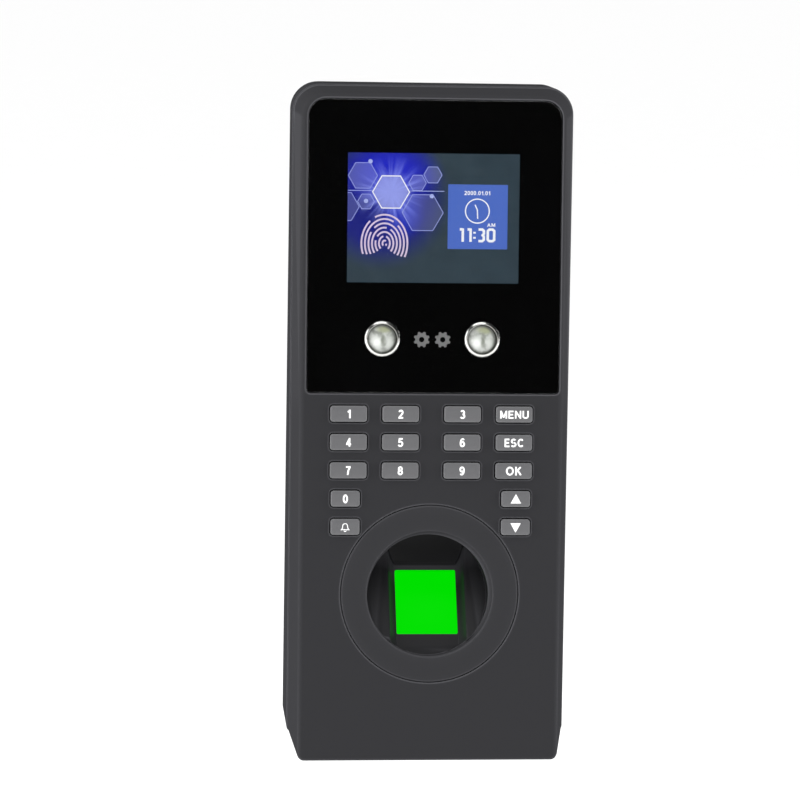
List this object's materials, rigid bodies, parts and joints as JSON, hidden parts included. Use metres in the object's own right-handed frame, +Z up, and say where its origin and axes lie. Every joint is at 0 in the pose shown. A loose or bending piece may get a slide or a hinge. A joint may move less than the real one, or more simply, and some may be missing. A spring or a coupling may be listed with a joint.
{
  "type": "fingerprint scanner terminal",
  "caption": "Wall-mounted fingerprint terminal with a colour display, infrared face lamps, a rubber-dome keypad and a finger well with a tilted optical sensor.",
  "frame": {"origin": "on the wall, midway between the upper pair of wall screws, on the rear face of the wall plate", "axes": "+Z up, +Y into the wall, +X to the right seen from the front; the front faces -Y and leans back 5 degrees"},
  "size_m": [0.0802, 0.0362, 0.1918],
  "materials": {
    "shell_plastic": "fine spark-eroded texture, charcoal",
    "ring_plastic": "satin, charcoal",
    "well_plastic": "smooth semi-gloss, near black",
    "key_plastic": "satin mid grey with white legends",
    "window_acrylic": "hard-coated gloss black",
    "lamp_metal": "bright plated",
    "lamp_lens": "moulded translucent dome",
    "sensor_glass": "polished prism lit green from inside",
    "screen_glass": "backlit blue display",
    "sheet_steel": "zinc-plated sheet",
    "screw_steel": "plated",
    "circuit_board": "green solder mask",
    "silicone": "matt moulded",
    "module_plastic": "moulded black",
    "connector_nylon": "natural nylon",
    "ribbon_film": "amber film"
  },
  "bodies": {
    "terminal": {"rear_shell": "shell_plastic", "front_shell": "shell_plastic", "wall_plate": "sheet_steel", "main_board": "circuit_board", "clock_battery": "screw_steel", "wiring_connector": "connector_nylon", "power_connector": "connector_nylon", "speaker": "module_plastic", "tamper_switch": "module_plastic", "usb_port": "sheet_steel", "usb_board": "circuit_board", "security_screw": "screw_steel", "display_window": "window_acrylic", "lcd_frame": "sheet_steel", "lcd_glass": "screen_glass", "camera_board": "circuit_board", "lamp_ring_left": "lamp_metal", "lamp_ring_right": "lamp_metal", "lamp_lens_left": "lamp_lens", "lamp_lens_right": "lamp_lens", "lamp_emitter_left": "connector_nylon", "lamp_emitter_right": "connector_nylon", "camera_left": "module_plastic", "camera_right": "module_plastic", "finger_ring": "ring_plastic", "finger_well": "well_plastic", "keypad_mat": "silicone", "keypad_board": "circuit_board", "sensor_window": "sensor_glass", "sensor_body": "module_plastic", "sensor_board": "circuit_board", "lcd_flex": "ribbon_film", "keypad_flex": "ribbon_film", "sensor_flex": "ribbon_film", "case_screw_bottom_left": "screw_steel", "case_screw_bottom_right": "screw_steel", "case_screw_middle_left": "screw_steel", "case_screw_middle_right": "screw_steel", "case_screw_top_left": "screw_steel", "case_screw_top_right": "screw_steel"},
    "key_0": {"key_0": "key_plastic"},
    "key_1": {"key_1": "key_plastic"},
    "key_2": {"key_2": "key_plastic"},
    "key_3": {"key_3": "key_plastic"},
    "key_4": {"key_4": "key_plastic"},
    "key_5": {"key_5": "key_plastic"},
    "key_6": {"key_6": "key_plastic"},
    "key_7": {"key_7": "key_plastic"},
    "key_8": {"key_8": "key_plastic"},
    "key_9": {"key_9": "key_plastic"},
    "key_menu": {"key_menu": "key_plastic"},
    "key_esc": {"key_esc": "key_plastic"},
    "key_ok": {"key_ok": "key_plastic"},
    "key_up": {"key_up": "key_plastic"},
    "key_down": {"key_down": "key_plastic"},
    "key_bell": {"key_bell": "key_plastic"},
    "tamper_plunger": {"tamper_plunger": "silicone"}
  },
  "joints": [
    {"name": "key_0_press", "type": "slide", "parent": "terminal", "child": "key_0", "axis": [0, 0.9962, -0.0872], "range_m": [0, 0.001], "stiffness_N_per_m": 600, "springref_m": -0.0005},
    {"name": "key_1_press", "type": "slide", "parent": "terminal", "child": "key_1", "axis": [0, 0.9962, -0.0872], "range_m": [0, 0.001], "stiffness_N_per_m": 600, "springref_m": -0.0005},
    {"name": "key_2_press", "type": "slide", "parent": "terminal", "child": "key_2", "axis": [0, 0.9962, -0.0872], "range_m": [0, 0.001], "stiffness_N_per_m": 600, "springref_m": -0.0005},
    {"name": "key_3_press", "type": "slide", "parent": "terminal", "child": "key_3", "axis": [0, 0.9962, -0.0872], "range_m": [0, 0.001], "stiffness_N_per_m": 600, "springref_m": -0.0005},
    {"name": "key_4_press", "type": "slide", "parent": "terminal", "child": "key_4", "axis": [0, 0.9962, -0.0872], "range_m": [0, 0.001], "stiffness_N_per_m": 600, "springref_m": -0.0005},
    {"name": "key_5_press", "type": "slide", "parent": "terminal", "child": "key_5", "axis": [0, 0.9962, -0.0872], "range_m": [0, 0.001], "stiffness_N_per_m": 600, "springref_m": -0.0005},
    {"name": "key_6_press", "type": "slide", "parent": "terminal", "child": "key_6", "axis": [0, 0.9962, -0.0872], "range_m": [0, 0.001], "stiffness_N_per_m": 600, "springref_m": -0.0005},
    {"name": "key_7_press", "type": "slide", "parent": "terminal", "child": "key_7", "axis": [0, 0.9962, -0.0872], "range_m": [0, 0.001], "stiffness_N_per_m": 600, "springref_m": -0.0005},
    {"name": "key_8_press", "type": "slide", "parent": "terminal", "child": "key_8", "axis": [0, 0.9962, -0.0872], "range_m": [0, 0.001], "stiffness_N_per_m": 600, "springref_m": -0.0005},
    {"name": "key_9_press", "type": "slide", "parent": "terminal", "child": "key_9", "axis": [0, 0.9962, -0.0872], "range_m": [0, 0.001], "stiffness_N_per_m": 600, "springref_m": -0.0005},
    {"name": "key_menu_press", "type": "slide", "parent": "terminal", "child": "key_menu", "axis": [0, 0.9962, -0.0872], "range_m": [0, 0.001], "stiffness_N_per_m": 600, "springref_m": -0.0005},
    {"name": "key_esc_press", "type": "slide", "parent": "terminal", "child": "key_esc", "axis": [0, 0.9962, -0.0872], "range_m": [0, 0.001], "stiffness_N_per_m": 600, "springref_m": -0.0005},
    {"name": "key_ok_press", "type": "slide", "parent": "terminal", "child": "key_ok", "axis": [0, 0.9962, -0.0872], "range_m": [0, 0.001], "stiffness_N_per_m": 600, "springref_m": -0.0005},
    {"name": "key_up_press", "type": "slide", "parent": "terminal", "child": "key_up", "axis": [0, 0.9962, -0.0872], "range_m": [0, 0.001], "stiffness_N_per_m": 600, "springref_m": -0.0005},
    {"name": "key_down_press", "type": "slide", "parent": "terminal", "child": "key_down", "axis": [0, 0.9962, -0.0872], "range_m": [0, 0.001], "stiffness_N_per_m": 600, "springref_m": -0.0005},
    {"name": "key_bell_press", "type": "slide", "parent": "terminal", "child": "key_bell", "axis": [0, 0.9962, -0.0872], "range_m": [0, 0.001], "stiffness_N_per_m": 600, "springref_m": -0.0005},
    {"name": "tamper_plunger_press", "type": "slide", "parent": "terminal", "child": "tamper_plunger", "axis": [0, -1, 0], "range_m": [0, 0.0012], "stiffness_N_per_m": 400, "springref_m": -0.0005}
  ]
}
